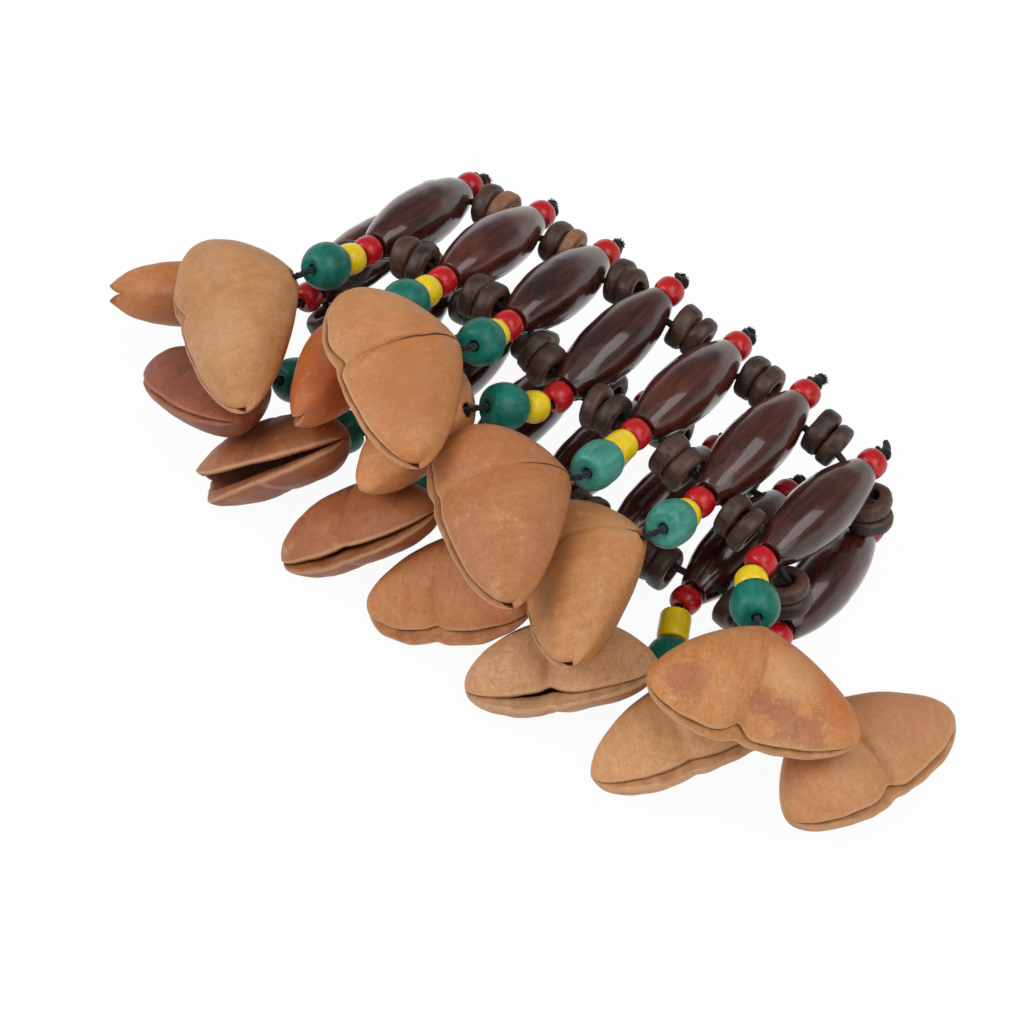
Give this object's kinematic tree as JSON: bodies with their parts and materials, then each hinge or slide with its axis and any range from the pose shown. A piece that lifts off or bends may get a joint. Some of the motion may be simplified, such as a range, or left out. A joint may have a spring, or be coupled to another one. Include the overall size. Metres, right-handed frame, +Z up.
{
  "type": "nutshell shaker bracelet",
  "caption": "Rattle bracelet of beaded cords laced side by side on elastic, each cord ending in a hollow split nutshell that swings and knocks against its neighbours.",
  "frame": {"origin": "middle of the bracelet's box, on the surface that it lies on", "axes": "+X along the rows of strands, +Y towards the knots, -Y towards the nutshells, +Z up"},
  "size_m": [0.1977, 0.098, 0.0579],
  "materials": {
    "nutshell": "matte dry nutshell",
    "dark_wood": "lacquered dark wood",
    "coconut": "satin coconut shell",
    "red_bead": "glossy",
    "yellow_bead": "glossy",
    "green_wood": "stained wood under lacquer",
    "cotton_cord": "fuzzy cotton",
    "elastic_cord": "covered elastic"
  },
  "bodies": {
    "band": {"long_bead_01": "dark_wood", "long_bead_02": "dark_wood", "long_bead_03": "dark_wood", "long_bead_04": "dark_wood", "long_bead_05": "dark_wood", "long_bead_06": "dark_wood", "long_bead_07": "dark_wood", "long_bead_08": "dark_wood", "long_bead_09": "dark_wood", "long_bead_10": "dark_wood", "long_bead_11": "dark_wood", "long_bead_12": "dark_wood", "long_bead_13": "dark_wood", "long_bead_14": "dark_wood", "long_bead_15": "dark_wood", "tie_cord_01": "cotton_cord", "tie_cord_02": "cotton_cord", "tie_cord_03": "cotton_cord", "tie_cord_04": "cotton_cord", "tie_cord_05": "cotton_cord", "tie_cord_06": "cotton_cord", "tie_cord_07": "cotton_cord", "tie_cord_08": "cotton_cord", "tie_cord_09": "cotton_cord", "tie_cord_10": "cotton_cord", "tie_cord_11": "cotton_cord", "tie_cord_12": "cotton_cord", "tie_cord_13": "cotton_cord", "tie_cord_14": "cotton_cord", "tie_cord_15": "cotton_cord", "red_beads_knot_end": "red_bead", "red_beads_shell_end": "red_bead", "yellow_beads": "yellow_bead", "green_beads": "green_wood", "coconut_discs_knot_row": "coconut", "coconut_discs_shell_row": "coconut", "elastic_cord_knot_row": "elastic_cord", "elastic_cord_shell_row": "elastic_cord"},
    "shell_01": {"nutshell_01": "nutshell"},
    "shell_02": {"nutshell_02": "nutshell"},
    "shell_03": {"nutshell_03": "nutshell"},
    "shell_04": {"nutshell_04": "nutshell"},
    "shell_05": {"nutshell_05": "nutshell"},
    "shell_06": {"nutshell_06": "nutshell"},
    "shell_07": {"nutshell_07": "nutshell"},
    "shell_08": {"nutshell_08": "nutshell"},
    "shell_09": {"nutshell_09": "nutshell"},
    "shell_10": {"nutshell_10": "nutshell"},
    "shell_11": {"nutshell_11": "nutshell"},
    "shell_12": {"nutshell_12": "nutshell"},
    "shell_13": {"nutshell_13": "nutshell"},
    "shell_14": {"nutshell_14": "nutshell"},
    "shell_15": {"nutshell_15": "nutshell"}
  },
  "joints": [
    {"name": "shell_01_swing", "type": "hinge", "parent": "band", "child": "shell_01", "pos_m": [-0.0525, -0.01265, 0.04358], "axis": [-0.795, 0.5743, 0.1954], "range_deg": [0, 20]},
    {"name": "shell_02_swing", "type": "hinge", "parent": "band", "child": "shell_02", "pos_m": [-0.03276, -0.01031, 0.04169], "axis": [-0.4336, 0.7932, -0.4277], "range_deg": [0, 10]},
    {"name": "shell_03_swing", "type": "hinge", "parent": "band", "child": "shell_03", "pos_m": [-0.01362, -0.00948, 0.04653], "axis": [-0.8331, 0.4999, 0.2366], "range_deg": [0, 20]},
    {"name": "shell_04_swing", "type": "hinge", "parent": "band", "child": "shell_04", "pos_m": [-0.00826, -0.01287, 0.03628], "axis": [0.3245, 0.5991, -0.732], "range_deg": [0, 14]},
    {"name": "shell_05_swing", "type": "hinge", "parent": "band", "child": "shell_05", "pos_m": [0.01779, -0.01525, 0.03765], "axis": [0.055, -0.0429, 0.9976], "range_deg": [0, 8]},
    {"name": "shell_06_swing", "type": "hinge", "parent": "band", "child": "shell_06", "pos_m": [0.03429, -0.01379, 0.03197], "axis": [-0.4085, -0.2491, 0.8781], "range_deg": [0, 9]},
    {"name": "shell_07_swing", "type": "hinge", "parent": "band", "child": "shell_07", "pos_m": [0.06157, -0.01596, 0.02828], "axis": [-0.8654, -0.456, 0.2079], "range_deg": [0, 20]},
    {"name": "shell_08_swing", "type": "hinge", "parent": "band", "child": "shell_08", "pos_m": [0.07284, -0.01347, 0.00976], "axis": [-0.135, 0.0337, 0.9903], "range_deg": [0, 30]},
    {"name": "shell_09_swing", "type": "hinge", "parent": "band", "child": "shell_09", "pos_m": [0.04848, -0.023, 0.00556], "axis": [0.6494, 0.3832, -0.6568], "range_deg": [0, 24]},
    {"name": "shell_10_swing", "type": "hinge", "parent": "band", "child": "shell_10", "pos_m": [0.02534, -0.02346, 0.006], "axis": [-0.7532, -0.1663, 0.6364], "range_deg": [0, 8]},
    {"name": "shell_11_swing", "type": "hinge", "parent": "band", "child": "shell_11", "pos_m": [-0.00134, -0.02242, 0.01209], "axis": [0.2767, 0.2995, -0.9131], "range_deg": [0, 6]},
    {"name": "shell_12_swing", "type": "hinge", "parent": "band", "child": "shell_12", "pos_m": [-0.0242, -0.02155, 0.00765], "axis": [0.6041, -0.0024, -0.7969], "range_deg": [0, 30]},
    {"name": "shell_13_swing", "type": "hinge", "parent": "band", "child": "shell_13", "pos_m": [-0.04545, -0.0195, 0.00707], "axis": [0.6663, -0.2333, -0.7083], "range_deg": [0, 30]},
    {"name": "shell_14_swing", "type": "hinge", "parent": "band", "child": "shell_14", "pos_m": [-0.05683, -0.01909, 0.01579], "axis": [0.2692, -0.3955, -0.8782], "range_deg": [0, 30]},
    {"name": "shell_15_swing", "type": "hinge", "parent": "band", "child": "shell_15", "pos_m": [-0.07611, -0.01281, 0.02376], "axis": [-0.4435, 0.5481, 0.7092], "range_deg": [0, 30]}
  ]
}
